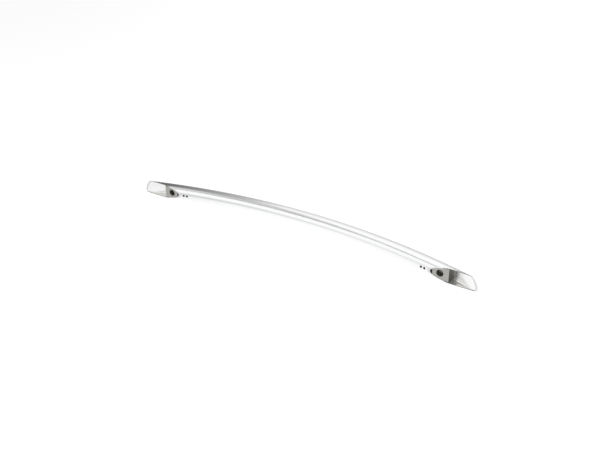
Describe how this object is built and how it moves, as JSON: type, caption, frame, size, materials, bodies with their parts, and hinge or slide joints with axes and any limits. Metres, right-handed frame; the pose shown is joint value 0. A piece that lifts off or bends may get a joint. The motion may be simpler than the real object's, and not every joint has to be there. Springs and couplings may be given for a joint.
{
  "type": "refrigerator door handle",
  "caption": "Bowed hollow metal handle of D section with flat-cut ends, each holding a mounting block with a socket for a door stud.",
  "frame": {"origin": "midpoint between the two stud sockets, in the door face and at mid width of the tube", "axes": "+X along the handle from tip to tip, +Y out from the door towards the front of the bow, +Z across the handle from the side it lies on"},
  "size_m": [0.813, 0.0623, 0.0324],
  "materials": {
    "tube": "satin, fine brushing along the bow",
    "block": "plain die-cast zinc, dull grey",
    "screw": "black oxide"
  },
  "bodies": {
    "root": {"handle_tube": "tube", "block_left": "block", "block_right": "block", "stud_screw_left": "screw", "stud_screw_right": "screw", "retainers_left": "screw", "retainers_right": "screw"}
  },
  "joints": []
}
